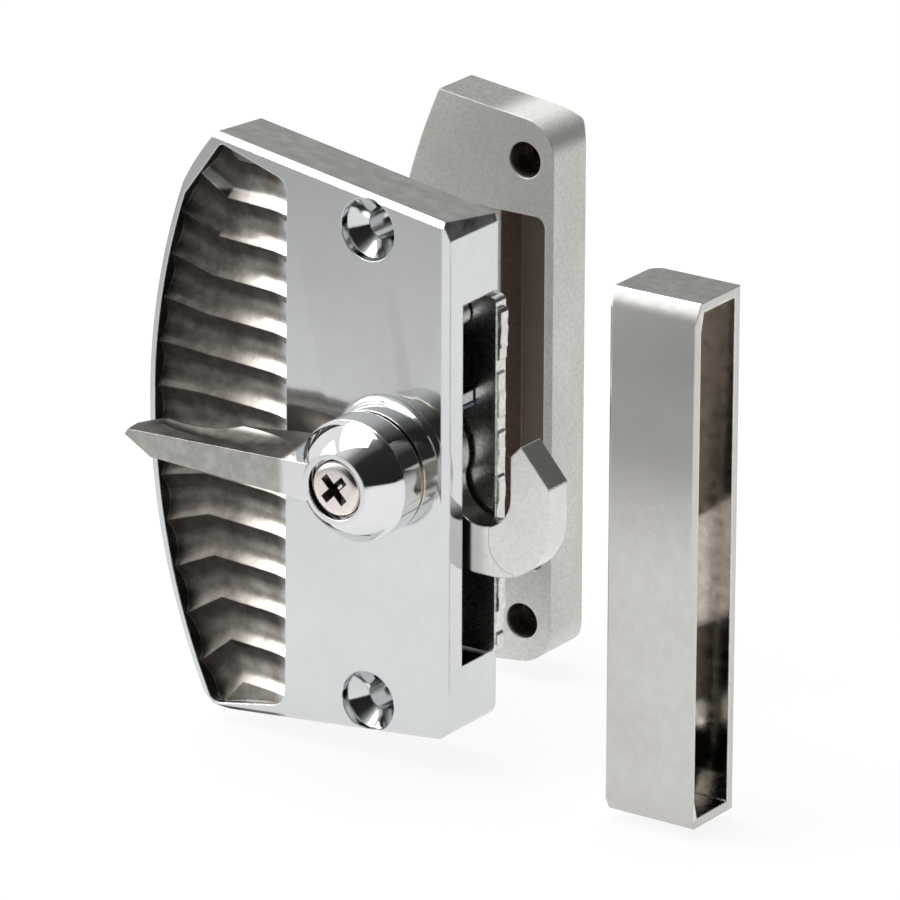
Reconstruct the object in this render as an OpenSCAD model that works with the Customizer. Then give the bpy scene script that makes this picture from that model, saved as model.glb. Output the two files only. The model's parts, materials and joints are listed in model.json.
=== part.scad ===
// Sliding screen door latch: an inside pull with a thumb turn and a hook bolt, an outside pull and a
// box keeper. The origin is the hook's axis on the door's inside face, +X points at the keeper, +Y goes
// into the door and +Z is up.

/* [Inside casting] */
// Depth of the casting in front of the door
case_d = 12.5; // [11.5:0.5:16]
// Side wall's distance from the hook's axis
case_right = 9.6; // [9.2:0.1:12]
// Leftmost point of the curved rim
rim_left = -41.8; // [-44:0.1:-41]
// Radius of the curved rim
rim_r = 100; // [95:1:110]
// Height of the rim's middle above the plate's
rim_up = 1.7; // [1:0.1:2.2]
// Radius of the rim's tighter upper end
rim_top_r = 45; // [38:1:60]
// Height of that upper end
rim_top_h = 8.4; // [6:0.1:10]
// Radius of the rounded corner at the foot of the rim
heel_r = 5; // [3.5:0.1:6]
// Height of the middle of the plate against the hook's axis
mid_z = -1.6; // [-2.5:0.1:-1]
// Height of the top edge at the rim
top_left_z = 43.2; // [42.5:0.1:46]
// Height of the top edge at the side wall
top_right_z = 36.8; // [36.5:0.1:39]
// Height of the bottom edge at the rim
bot_left_z = -44; // [-47:0.1:-43.6]
// Height of the bottom edge at the side wall
bot_right_z = -40; // [-43:0.1:-39.8]
// Wall thickness of the casting
case_wall = 1.7; // [1.4:0.1:2]
// Thickness of the face in front of the lock pocket
face_t = 2; // [1.6:0.1:2.4]
// Bevel along the front edges
bevel = 0.9; // [0.5:0.1:1.2]
// Fall of the top face from the front to the door in degrees
top_draft = 7.3; // [3:0.1:8]

/* [Finger dish] */
// Right edge of the fluted dish
dish_right = -17.6; // [-19:0.1:-17]
// Width of the rim beside the dish
rim_w = 0.8; // [0.6:0.1:1.5]
// Number of flutes
flute_count = 13; // [9:1:15]
// Distance between flutes
flute_pitch = 6.05; // [5.5:0.05:6.5]
// Height of the middle flute
flute_mid_z = -0.2; // [-1:0.1:1.5]
// Radius of a flute's section
flute_r = 4.6; // [4:0.1:6]
// Depth of the flutes at the flat face
flute_edge_d = 1.2; // [1:0.1:1.6]
// Depth of the flutes at the rim
flute_rim_d = 2; // [1.8:0.1:2.4]
// Slope of the flutes in degrees
flute_slope = 5; // [2:0.5:7]
// Width over which the flutes curve up to the flat face
bend_w = 5.6; // [4:0.1:7]
// Radius of that curve
bend_r = 25; // [20:1:40]
// Leftmost point of the crease
crease_left = -34.2; // [-36:0.1:-33]
// Radius of the crease
crease_r = 110; // [95:1:130]
// Rise of a flute between crease and rim, for each millimetre from the middle
flute_fan = 0.135; // [0:0.005:0.3]

/* [Mounting holes] */
// Distance of the holes from the hook's axis
screw_x = -3.8; // [-5:0.1:-3.2]
// Distance between the two holes
screw_spacing = 70.4; // [68:0.1:71]
// Diameter of a through hole
screw_hole_d = 4.6; // [4:0.1:5]
// Diameter of the countersink
sink_d = 9; // [8:0.1:9.2]
// Depth of the countersink's straight mouth
sink_mouth = 1.4; // [0.6:0.1:2]
// Depth of the countersink's cone
sink_cone = 2.3; // [1.5:0.1:2.6]

/* [Lock pocket] */
// Top of the pocket and of the hook's slot
slot_top = 24; // [22:0.1:25]
// Bottom of the pocket and of the hook's slot
slot_bottom = -29.7; // [-30:0.1:-28]
// Left wall of the pocket
pocket_left = -17; // [-17.8:0.1:-16.9]
// Clearance in front of the hook in the slot
slot_play = 0.6; // [0.4:0.1:0.9]

/* [Back plate] */
// Thickness of the back plate
plate_t = 2.4; // [2:0.1:2.5]
// Clearance round the back plate
plate_gap = 0.3; // [0.1:0.05:0.5]
// Stand of the back plate's edge out of the side wall
plate_tab = 1.4; // [0.5:0.1:2]
// Diameter of a plate screw's thread
plate_screw_d = 2.4; // [2:0.1:2.8]
// Diameter of a plate screw's head
plate_head_d = 4; // [3.6:0.1:4.4]
// Depth of a plate screw's head
plate_head_h = 1.1; // [0.8:0.1:1.3]
// Length of a plate screw
plate_screw_l = 6.6; // [5:0.1:8]
// Diameter of a cast post
post_d = 5.2; // [4.4:0.1:5.4]

/* [Spindle] */
// Diameter of the journal in the boss
journal_d = 8; // [7:0.1:9]
// Radial clearance of the spindle's journals
journal_gap = 0.06; // [0.03:0.01:0.1]
// Side of the square that drives the hook
hook_square = 6.4; // [5.5:0.1:6.8]
// Side of the square that the thumb turn sits on
turn_square = 5.4; // [4.8:0.1:5.5]
// Clearance of the squares
square_gap = 0.05; // [0.03:0.01:0.1]
// Thickness of the flange behind the hook
flange_t = 0.6; // [0.4:0.05:0.7]
// Diameter of the flange behind the hook
flange_d = 10.4; // [9.5:0.1:12]
// Diameter of the tail journal in the back plate
tail_d = 4.4; // [3.5:0.1:5]
// Length of the tail journal
tail_l = 1.5; // [1:0.1:1.6]

/* [Hook] */
// Clearance between the hook and the back plate
hook_back_gap = 0.8; // [0.7:0.05:1]
// Thickness of the hook
hook_t = 4.2; // [3.8:0.1:4.4]
// Diameter of the hook's hub
hub_d = 14.2; // [13:0.1:14.4]
// Distance of the hub's detent flats from the axis
hub_flat = 6.6; // [6.4:0.1:6.8]
// Radius of the throat
throat_r = 5.4; // [5:0.1:5.8]
// Distance of the throat's middle from the axis
throat_x = 11.9; // [11.5:0.1:12.2]
// Height of the throat's middle
throat_z = -3; // [-3.4:0.1:-2.6]
// Outermost point of the claw
claw_x = 23.7; // [23:0.1:24]
// Height of the claw's tip
claw_tip_z = 4.9; // [4:0.1:5.5]
// Lowest point of the hook
hook_bottom = -15.6; // [-16:0.1:-15]
// Radius of the hook's outer corner
hook_corner_r = 9.6; // [7:0.1:10]
// Width of the claw's slanted end
claw_slope = 4.7; // [4:0.1:5]
// Height of the claw's slanted end
claw_drop = 5.4; // [4.5:0.1:6]
// Distance of the hook's heel from the axis
heel_x = 10.2; // [9.5:0.1:11]
// Distance of the raised disc's middle from the axis
disc_x = 17.8; // [17:0.1:18.5]
// Height of the raised disc's middle
disc_z = -10.2; // [-10.8:0.1:-9.6]
// Radius of the raised disc at the claw's root
disc_r = 4.2; // [3.5:0.1:4.6]
// Stand of the raised disc out of the hook's side
disc_h = 0.5; // [0.3:0.1:0.8]

/* [Detent spring] */
// Thickness of the leaf
leaf_t = 0.5; // [0.4:0.05:0.6]
// Width of the leaf
leaf_w = 4.6; // [4:0.1:5]
// Clearance between the leaf and the round of the hub
leaf_gap = 0.2; // [0.15:0.05:0.4]
// Length of the slotted lug that holds the leaf
lug_l = 4; // [3:0.1:4.4]
// Height of the lug on each side of the leaf
lug_h = 1.6; // [1.2:0.1:2]

/* [Thumb turn] */
// Diameter of the boss and of the cap
cap_d = 17.8; // [17:0.1:19]
// Height of the boss on the face
boss_h = 4.2; // [3.8:0.1:4.6]
// Radius of the fillet at the boss's foot
boss_fillet = 1.2; // [0.6:0.1:1.6]
// Gap that the wave washer fills
seam = 0.7; // [0.6:0.05:0.9]
// Thickness of the wave washer
wave_t = 0.4; // [0.3:0.05:0.45]
// Height of the cap's straight side
cap_h = 4.5; // [4:0.1:5]
// Height of the cap's cone
cone_h = 4.1; // [3.5:0.1:4.5]
// Width of the edge between the cap's side and cone
cap_edge = 0.4; // [0.3:0.1:0.6]
// Radius of the cone's bulge
dome_r = 11; // [9:0.5:16]
// Diameter of the flat ring round the screw
ring_d = 10.4; // [10:0.1:11]
// Diameter of the screw's recess
recess_d = 8.9; // [8.7:0.1:9.2]
// Depth of the screw's recess
recess_h = 1.9; // [1.6:0.1:2.2]
// Diameter of the knob screw's head
head_d = 8.2; // [8:0.1:8.4]
// Height of the knob screw's head
head_h = 1.7; // [1.5:0.1:1.9]
// Diameter of the knob screw's thread
thread_d = 4; // [3.5:0.5:4]
// Length of the knob screw's thread
thread_l = 11; // [8:0.5:12]
// Length of a slot of the cross recess
cross_l = 4.4; // [3.6:0.1:4.8]
// Width of a slot of the cross recess
cross_w = 0.95; // [0.7:0.05:1.2]
// Depth of the cross recess
cross_h = 1.1; // [0.8:0.1:1.3]

/* [Lever] */
// Distance of the lever's tip from the axis
lever_l = 36.4; // [33:0.1:40]
// Droop of the lever in degrees
lever_droop = 2.1; // [-4:0.1:4]
// Rise of the lever's top face towards the door in degrees
lever_rake = 5.3; // [0:0.1:8]
// Thickness of the lever at the cap
lever_root_t = 5.8; // [4.8:0.1:6.4]
// Thickness of the lever near the tip
lever_tip_t = 3.6; // [3:0.1:4]
// Depth of the lever at the tip
lever_tip_d = 5.2; // [4.5:0.1:7]
// Reach of the lever's root behind the cap
lever_behind = 1; // [0.4:0.1:1.6]
// Clearance between the lever and the round of the boss
lever_boss_gap = 0.6; // [0.3:0.1:1]
// Length of the scoop in the lever's top
scoop_l = 25; // [20:0.5:26]
// Depth of the scoop
scoop_d = 1.5; // [0.8:0.1:1.7]

/* [Outside pull] */
// Thickness of the door leaf
door_t = 26.5; // [19:0.5:35]
// Thickness of the outside pull
pull_t = 9.4; // [8.8:0.1:11]
// Right edge of the outside pull
pull_right = 1.2; // [0.8:0.1:2.5]
// Leftmost point of the outside pull's curved side
pull_left = -28; // [-32:0.1:-27.5]
// Radius of the outside pull's curved side
pull_rim_r = 105; // [95:1:130]
// Half height of the outside pull at the left
pull_half_left = 43.6; // [42.5:0.1:46]
// Half height of the outside pull at the right
pull_half_right = 40.8; // [40:0.1:43]
// Radius of the outside pull's right corners
pull_small_r = 5.5; // [4:0.1:6]
// Bevel of the outside pull's outer edges
pull_bevel = 1.2; // [0.6:0.1:1.6]
// Diameter of the lead-in of a threaded hole
lead_d = 5.4; // [5:0.1:6.2]
// Depth of the lead-in
lead_h = 4.4; // [2:0.1:5]
// Core diameter of the threaded hole
core_d = 3.3; // [3:0.1:3.5]
// Depth of the threaded hole
core_h = 7.6; // [6.5:0.1:7.8]
// Length of the cored pocket between the holes
core_pocket_l = 54; // [50:1:56]
// Width of the cored pocket between the holes
core_pocket_w = 8.6; // [8:0.1:9]
// Wall between the cored pocket and the outside pull's right side
core_wall = 1.5; // [1.3:0.1:1.8]
// Depth of the cored pocket between the holes
core_pocket_d = 7; // [6:0.1:7.2]
// Length of the finger recess in the outer face
grip_l = 64; // [55:1:66]
// Width of the finger recess
grip_w = 12.2; // [10:0.1:12.6]
// Depth of the finger recess
grip_d = 5.6; // [5:0.1:6]
// Depth of the shallow pocket behind the finger recess
back_pocket_d = 1.6; // [1:0.1:1.8]
// Wall between the finger recess and the curved side
grip_wall = 3.2; // [2.5:0.1:4]

/* [Keeper] */
// Gap between the side wall and the keeper
keeper_gap = 26.4; // [20:0.1:60]
// Width of the keeper along the door's travel
keeper_w = 14.1; // [12:0.1:17]
// Depth of the keeper
keeper_d = 11.3; // [11:0.1:12.5]
// Height of the keeper
keeper_h = 77; // [70:1:90]
// Middle height of the keeper
keeper_z = -5.8; // [-7:0.1:-5]
// Wall thickness of the keeper
keeper_wall = 1.4; // [1.2:0.1:1.8]
// Radius of the keeper's upright front edge
keeper_edge_r = 0.7; // [0.4:0.1:1.2]
// Radius of the keeper's upright rear edge
keeper_rear_r = 2; // [1:0.1:2.4]
// Height of the bevels at the keeper's front ends
keeper_bevel_h = 2.7; // [1.5:0.1:3]
// Depth of the bevels at the keeper's front ends
keeper_bevel_d = 1.4; // [0.8:0.1:1.8]
// Height of the keeper's hook slot
keeper_slot_h = 16.2; // [15:0.1:17]
// Clearance of the slot over the hook's throat
keeper_catch = 1.7; // [1:0.1:2]
// Width of the keeper's hook slot
keeper_slot_w = 6.4; // [6:0.1:7]
// Distance between the keeper's screw holes
keeper_spacing = 60; // [56:1:62]
// Diameter of the keeper's screw holes
keeper_hole_d = 4.2; // [3.6:0.1:4.6]

/* [Hidden] */
$fn = 72;
eps = 0.01;
big = 200;
half = 0.5;
lap = 1;

face_y = -case_d;
boss_y = face_y - boss_h;
cap_y = boss_y - seam;
cone_y = cap_y - cap_h;
ring_y = cone_y - cone_h;
plate_y = -plate_t;
hook_back_y = plate_y - hook_back_gap;
hook_y = hook_back_y - hook_t;
pocket_y = face_y + face_t;

screw_zs = [mid_z - screw_spacing / 2, mid_z + screw_spacing / 2];
rim_x = rim_left + rim_r;
rim_z = mid_z + rim_up;
crease_x = crease_left + crease_r;

// Two-dimensional helpers draw in x and z; up() stands them up so that they run along y
module up(y0, y1) {
    translate([0, y1, 0]) rotate([90, 0, 0]) linear_extrude(height = y1 - y0) children();
}

function unit(v) = v / norm(v);

// A convex outline with true arcs at its corners; points run anticlockwise, one radius each
module round_poly(points, radii) {
    n = len(points);
    corners = [for (i = [0:n - 1])
        let (p = points[i],
            a = unit(points[(i + n - 1) % n] - p),
            b = unit(points[(i + 1) % n] - p),
            turn = acos(a * b) / 2,
            run = radii[i] / tan(turn))
        [p + a * run, p + b * run, p + unit(a + b) * radii[i] / sin(turn), radii[i]]];
    polygon([for (c = corners) each [c[0], c[1]]]);
    for (c = corners) translate(c[2]) circle(r = c[3]);
}

// Top and bottom edges of the inside casting at a distance x from the hook's axis
corner_x = -30;
function edge_z(x, left_z, right_z) =
    right_z + (left_z - right_z) * (case_right - x) / (case_right - corner_x);
function top_z(x) = edge_z(x, top_left_z, top_right_z);
function bot_z(x) = edge_z(x, bot_left_z, bot_right_z);

// Inside casting

case_corner_w = 0.9;
case_corner_h = 2.8;
case_foot_r = 2.4;

module case_box() {
    round_poly([[case_right - case_corner_w, top_z(case_right - case_corner_w)],
        [rim_left - lap, top_z(rim_left - lap)],
        [rim_left - lap, bot_z(rim_left - lap)],
        [case_right, bot_right_z],
        [case_right, top_right_z - case_corner_h]],
        [0.6, 0.4, 0.4, case_foot_r, 0.6]);
}

// Points on an arc about a middle, between two angles
function arc_points(mid, r, from, to, steps) =
    [for (i = [0:steps]) let (a = from + (to - from) * i / steps) mid + r * [cos(a), sin(a)]];

// Cuts the rounded corner that touches the rim and the bottom edge
heel_slope = atan2(bot_right_z - bot_left_z, case_right - corner_x);
heel_up = heel_r / cos(heel_slope);
heel_mid = let (k = tan(heel_slope), c = bot_z(0) + heel_up - rim_z, a = 1 + k * k, b = c * k - rim_x,
    q = rim_x * rim_x + c * c - pow(rim_r - heel_r, 2), x = (-b - sqrt(b * b - a * q)) / a)
    [x, bot_z(x) + heel_up];

module heel_waste() {
    from = atan2(heel_mid[1] - rim_z, heel_mid[0] - rim_x);
    arc = arc_points(heel_mid, heel_r, from - 4, heel_slope - 86, 8);
    up(face_y - lap, lap) polygon(concat(arc,
        [arc[8] - [0, heel_r], arc[0] - [heel_r, 2 * heel_r], arc[0] - [heel_r, 0]]));
}

// Cuts the rim's upper end to a tighter arc
module rim_top_waste() {
    high = [corner_x + 0.2, top_left_z];
    low = [circle_x(rim_x, rim_r, top_left_z - rim_top_h), top_left_z - rim_top_h];
    run = unit(high - low);
    reach = norm(high - low) / 2;
    mid = (high + low) / 2 + [run[1], -run[0]] * sqrt(rim_top_r * rim_top_r - reach * reach);
    from = atan2(high[1] - mid[1], high[0] - mid[0]) - 2;
    to = atan2(low[1] - mid[1], low[0] - mid[0]) + 2;
    up(face_y - lap, lap) polygon(concat(arc_points(mid, rim_top_r, from, to, 8),
        [low - [heel_r, 0], low + [-heel_r, rim_top_h + lap], high + [0, 2 * lap]]));
}

module rim_disc(inset) {
    translate([rim_x, rim_z]) circle(r = rim_r - inset, $fn = 360);
}

module case_outline() {
    intersection() {
        case_box();
        rim_disc(0);
    }
}

// A long wedge that bevels a front edge between two points of the outline
module edge_bevel(p, q) {
    run = q - p;
    over = 6;
    translate([p[0], face_y, p[1]]) rotate([0, -atan2(run[1], run[0]), 0]) translate([-over, 0, 0])
        rotate([0, 90, 0]) linear_extrude(height = norm(run) + 2 * over)
            polygon([[-lap, -lap], [bevel, -lap], [bevel, 0], [0, bevel], [-lap, bevel]]);
}

// Places of the flutes, on the crease and, fanned out, on the rim
function flute_z(k) = flute_mid_z + (k - (flute_count - 1) / 2) * flute_pitch;
function circle_x(cx, r, z) = cx - sqrt(r * r - pow(z - rim_z, 2));
function crease_at(z) = circle_x(crease_x, crease_r, z);
function fan_z(z) = z + (z - flute_mid_z) * flute_fan;

bend_x = dish_right - bend_w;
bend_end = asin(sin(flute_slope) + bend_w / bend_r);
bend_d = flute_edge_d + bend_r * (cos(flute_slope) - cos(bend_end));
bend_mid = [bend_x - bend_r * sin(flute_slope), face_y + bend_d - bend_r * cos(flute_slope)];
function floor_y(x) = face_y + bend_d + (bend_x - x) * tan(flute_slope);
function bend_y(x) = bend_mid[1] + sqrt(bend_r * bend_r - pow(x - bend_mid[0], 2));

// The fluted floor is a net of rows across the flutes, with columns past the rim, on the crease, at the
// start of the bend, on the bend and past the dish's right edge
flute_steps = 8;
bend_steps = 3;
end_room = 5;
row_last = flute_count * flute_steps;
col_last = bend_steps + 3;
past_rim = 0.3;

function row_z(j) = j < 0 ? row_z(0) - end_room : j > row_last ? row_z(row_last) + end_room :
    flute_z(j / flute_steps - half);
function row_w(j) = j < 0 || j > row_last ? flute_pitch / 2 :
    (j / flute_steps - floor(j / flute_steps) - half) * flute_pitch;
function sag(w) = flute_r - sqrt(flute_r * flute_r - w * w);
function crease_point(j) = let (z = row_z(j), x = crease_at(z)) [x, floor_y(x) - sag(row_w(j)), z];
function rim_point(j) = let (z = fan_z(row_z(j)))
    [circle_x(rim_x, rim_r, z), face_y + flute_rim_d - sag(row_w(j) * (1 + flute_fan)), z];
function bend_point(j, x) = [x, (x < bend_x + eps ? floor_y(x) : bend_y(x)) - sag(row_w(j)), row_z(j)];
function net_point(j, c) =
    c == 0 ? rim_point(j) + (rim_point(j) - crease_point(j)) * past_rim :
    c == 1 ? crease_point(j) :
    c == col_last ? bend_point(j, dish_right + lap) :
    bend_point(j, bend_x + bend_w * (c - 2) / bend_steps);

module flute_net() {
    cols = col_last + 1;
    rows = row_last + 3;
    net = [for (j = [-1:row_last + 1]) for (c = [0:col_last]) net_point(j, c)];
    loop = concat([for (c = [0:col_last]) c], [for (r = [1:rows - 1]) r * cols + col_last],
        [for (c = [1:col_last]) rows * cols - 1 - c], [for (r = [1:rows - 2]) (rows - 1 - r) * cols]);
    lid = [for (i = loop) [net[i][0], face_y - lap, net[i][2]]];
    n = len(loop);
    first = len(net);
    polyhedron(points = concat(net, lid), faces = concat(
        [for (r = [0:rows - 2]) for (c = [0:col_last - 1]) let (i = r * cols + c) each
            [[i, i + 1, i + cols + 1], [i, i + cols + 1, i + cols]]],
        [for (i = [0:n - 1]) let (k = (i + 1) % n) each
            [[loop[i], first + i, first + k], [loop[i], first + k, loop[k]]]],
        [[for (i = [n - 1:-1:0]) first + i]]));
}

module dish_outline() {
    intersection() {
        rim_disc(rim_w);
        round_poly([[dish_right, top_z(dish_right) - 3.2],
            [corner_x + 1, top_z(corner_x + 1) - 1.4],
            [rim_left - lap, top_left_z - 2.4 * rim_top_h],
            [rim_left - lap, bot_left_z + 11.5],
            [corner_x - 0.6, bot_z(corner_x) + 1],
            [dish_right - 0.7, bot_z(dish_right) + 2.1]],
            [2.4, 1, 0.5, 0.5, 1.4, 3]);
    }
}

module flutes() {
    intersection() {
        up(face_y - 2 * lap, face_y + case_d / 2) dish_outline();
        flute_net();
    }
}

boss_post_d = 10.4;
rib_t = 1.8;
top_drop = case_d * tan(top_draft);

// Slants the top face down towards the door
module top_slant() {
    over = 20;
    run = [case_right - corner_x, top_right_z - top_left_z];
    translate([corner_x, face_y, top_left_z]) rotate([0, -atan2(run[1], run[0]), 0])
        translate([-over, 0, 0]) rotate([-top_draft, 0, 0]) cube([norm(run) + 2 * over, 2 * case_d, over]);
}
dish_back = floor_y(crease_left) + case_wall;
post_places = [[pocket_left + 3.4, slot_top - 3.4],
    [case_right - case_wall - 3.6, slot_top - 3.4],
    [pocket_left + 3.4, slot_bottom + 3.4]];

module pocket_outline() {
    translate([pocket_left, slot_bottom])
        square([case_right - case_wall - pocket_left, slot_top - slot_bottom]);
}

// Cored pockets above and below the lock pocket, round the screw bosses
module end_pockets() {
    inner_right = case_right - case_wall;
    top_in = slot_top + case_wall;
    bot_in = slot_bottom - case_wall;
    difference() {
        union() {
            polygon([[pocket_left, top_in], [inner_right, top_in],
                [inner_right, top_right_z - case_corner_h - 0.6 - top_drop],
                [inner_right - 1.6, top_z(inner_right) - 2.2 - top_drop],
                [pocket_left, top_z(pocket_left) - case_wall - top_drop]]);
            polygon([[pocket_left, bot_in], [inner_right, bot_in],
                [inner_right, bot_right_z + case_foot_r + 1], [inner_right - 2, bot_z(inner_right) + case_wall],
                [pocket_left, bot_z(pocket_left) + case_wall]]);
        }
        for (z = screw_zs) translate([screw_x, z]) circle(d = boss_post_d);
    }
}

module dish_hollow() {
    intersection() {
        rim_disc(case_wall);
        polygon([[pocket_left - rib_t, top_z(pocket_left - rib_t) - case_wall - top_drop],
            [rim_left, top_z(rim_left) - case_wall - rim_top_h - top_drop],
            [rim_left, bot_z(rim_left) + 8],
            [corner_x, bot_z(corner_x) + case_wall + 0.8],
            [pocket_left - rib_t, bot_z(pocket_left - rib_t) + case_wall]]);
    }
}

leaf_z = hub_d / 2 + leaf_gap;
stop_l = 3.2;

module leaf_lugs() {
    y1 = plate_y - plate_gap;
    translate([pocket_left - eps, pocket_y - eps, leaf_z - lug_h])
        cube([lug_l + eps, y1 - pocket_y + eps, leaf_t + 2 * lug_h]);
    translate([case_right - case_wall - stop_l, pocket_y - eps, leaf_z + leaf_t + 0.15])
        cube([stop_l + eps, y1 - pocket_y + eps, lug_h]);
}

module leaf_slit() {
    room = 0.05;
    translate([pocket_left - half, hook_y - half, leaf_z - room])
        cube([lug_l + lap, case_d, leaf_t + 2 * room]);
}

module front_casting() color([0.74, 0.75, 0.75]) {
    difference() {
        union() {
            difference() {
                up(face_y, 0) case_outline();
                up(pocket_y, lap) pocket_outline();
                up(pocket_y, lap) end_pockets();
                up(dish_back, lap) dish_hollow();
            }
            boss();
            for (p = post_places) translate([p[0], 0, p[1]])
                rotate([90, 0, 0]) translate([0, 0, -plate_y + plate_gap])
                    cylinder(d = post_d, h = case_d + plate_y - plate_gap - face_t + eps);
            leaf_lugs();
        }
        flutes();
        rim_top_waste();
        heel_waste();
        top_slant();
        edge_bevel([corner_x, top_left_z], [case_right - case_corner_w, top_z(case_right - case_corner_w)]);
        edge_bevel([case_right, top_right_z], [case_right, bot_right_z]);
        edge_bevel([case_right, bot_right_z], [corner_x + 4, bot_z(corner_x + 4)]);
        side_slot();
        for (z = screw_zs) translate([screw_x, face_y, z]) rotate([-90, 0, 0]) screw_sink();
        spindle_bore();
        for (p = post_places) translate([p[0], lap, p[1]]) rotate([90, 0, 0])
            cylinder(d = plate_screw_d - 0.4, h = plate_screw_l + 2);
        leaf_slit();
    }
}

// Round boss under the thumb turn, with a concave fillet at its foot
module boss() {
    r = cap_d / 2;
    translate([0, face_y + lap, 0]) rotate([90, 0, 0]) rotate_extrude() difference() {
        square([r + boss_fillet, boss_h + lap]);
        translate([r + boss_fillet, lap + boss_fillet]) circle(r = boss_fillet);
        translate([r, lap + boss_fillet]) square([boss_fillet + lap, boss_h]);
    }
}

module side_slot() {
    translate([case_right - case_wall - half, hook_y - disc_h - slot_play, slot_bottom])
        cube([case_wall + 2, case_d, slot_top - slot_bottom]);
}

module screw_sink() {
    hole_r = screw_hole_d / 2;
    sink_r = sink_d / 2;
    rotate_extrude() polygon([[0, -lap], [sink_r, -lap], [sink_r, sink_mouth],
        [hole_r, sink_mouth + sink_cone], [hole_r, case_d + lap], [0, case_d + lap]]);
}

module spindle_bore() {
    translate([0, pocket_y + lap, 0]) rotate([90, 0, 0])
        cylinder(d = journal_d + 2 * journal_gap, h = boss_h + face_t + 2 * lap);
}

// Back plate that closes the lock pocket; its right edge stands in the slot

tail_bore_h = tail_l + 0.2;

module plate_outline() {
    left = pocket_left + plate_gap;
    right = case_right + plate_tab;
    top = slot_top - plate_gap;
    bottom = slot_bottom + plate_gap;
    round_poly([[left, bottom], [right, bottom], [right, top], [left, top]], [0.6, 1, 1, 0.6]);
}

module back_plate() color([0.78, 0.79, 0.78]) {
    difference() {
        up(plate_y, 0) plate_outline();
        translate([0, plate_y + tail_bore_h, 0]) rotate([90, 0, 0])
            cylinder(d = tail_d + 2 * journal_gap, h = tail_bore_h + lap);
        for (p = post_places) translate([p[0], 0, p[1]]) rotate([90, 0, 0]) {
            translate([0, 0, -lap]) cylinder(d = plate_screw_d + 0.3, h = plate_t + 2 * lap);
            translate([0, 0, -lap]) cylinder(d = plate_head_d + 0.3, h = plate_head_h + 0.1 + lap);
        }
    }
}

module plate_screws() color([0.62, 0.62, 0.6]) {
    slot_w = 0.7;
    slot_h = 0.6;
    set = 0.1;
    for (p = post_places) translate([p[0], -set, p[1]]) rotate([90, 0, 0]) difference() {
        union() {
            cylinder(d = plate_head_d, h = plate_head_h);
            cylinder(d = plate_screw_d - 0.5, h = plate_screw_l);
        }
        translate([-plate_head_d, -slot_w / 2, -lap]) cube([2 * plate_head_d, slot_w, slot_h + lap]);
    }
}

// Spindle: thread for the knob screw, two squares, the boss journal, a flange and a tail

journal_end_y = pocket_y + 0.6;
turn_grip = 5;

module square_bar(side, y0, y1) {
    translate([-side / 2, y0, -side / 2]) cube([side, y1 - y0, side]);
}

module rod(d, y0, y1) {
    translate([0, y1, 0]) rotate([90, 0, 0]) cylinder(d = d, h = y1 - y0);
}

module spindle() color([0.66, 0.64, 0.58]) {
    difference() {
        union() {
            square_bar(turn_square, cap_y - turn_grip, cap_y + 0.2);
            rod(journal_d, cap_y + 0.2, journal_end_y);
            square_bar(hook_square, journal_end_y - eps, hook_back_y + 0.05 + eps);
            rod(flange_d, hook_back_y + 0.05, hook_back_y + 0.05 + flange_t);
            rod(tail_d, hook_back_y + flange_t, plate_y + tail_l);
        }
        rod(thread_d - 0.7, cap_y - turn_grip - lap, cap_y - turn_grip + thread_l - 1);
    }
}

module thrust_washer() color([0.9, 0.88, 0.82]) {
    washer_t = 0.6;
    outer = 12.6;
    y = journal_end_y + 0.1;
    difference() {
        rod(outer, y, y + washer_t);
        rod(hook_square * sqrt(2) + 0.1, y - lap, y + washer_t + lap);
    }
}

// Hook: hub, arm and claw, with a raised disc where the claw starts

hub_front_y = journal_end_y + 0.8;
claw_in = throat_x + throat_r;

module hook_outline() {
    hub_r = hub_d / 2;
    difference() {
        union() {
            circle(r = hub_r);
            round_poly([[-2, 0.6 - hub_r], [heel_x, hook_bottom], [claw_x, hook_bottom],
                [claw_x, claw_tip_z - claw_drop], [claw_x - 4, throat_z + 2], [0, throat_z + 2]],
                [0.4, 2, hook_corner_r, 0.2, 0.2, 1]);
            polygon([[claw_in - 2, throat_z - 2], [claw_x - 4, throat_z - 2], [claw_x, claw_tip_z - claw_drop],
                [claw_x - claw_slope, claw_tip_z], [claw_in, claw_tip_z - 1.8]]);
        }
        translate([throat_x, throat_z]) circle(r = throat_r);
        polygon([[throat_x - throat_r, throat_z], [claw_in, throat_z], [claw_in, big], [hub_r - 0.6, big],
            [hub_r - 0.6, throat_z + 3]]);
    }
}

module hook() color([0.8, 0.8, 0.79]) {
    disc_y = hook_y - disc_h;
    difference() {
        union() {
            up(hook_y, hook_back_y) hook_outline();
            rod(hub_d, hub_front_y, hook_back_y);
            intersection() {
                up(disc_y, hook_back_y) hook_outline();
                union() {
                    translate([disc_x, 0, disc_z]) rod(2 * disc_r, disc_y, hook_back_y);
                    translate([disc_x - disc_r, disc_y, disc_z]) cube([2 * disc_r + 4, hook_t, 20]);
                    translate([disc_x, disc_y, disc_z - 20]) cube([20, hook_t, 40]);
                }
            }
        }
        square_bar(hook_square + 2 * square_gap, hub_front_y - lap, hook_back_y + lap);
        for (a = [0, -90]) rotate([0, a, 0]) translate([-hub_d / 2, hub_front_y - lap, hub_flat])
            cube([hub_d - 1.6, case_d, lap]);
    }
}

// Leaf spring held in the slotted lug, over the hub

module detent_spring() color([0.55, 0.57, 0.62]) {
    tip = case_right - case_wall - 0.4;
    start = pocket_left + 0.2;
    y0 = hook_y + 0.2;
    translate([start, y0, leaf_z]) cube([tip - start, leaf_w, leaf_t]);
}

// Thumb turn: a straight cap, a domed cone and a lever in one piece

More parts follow.
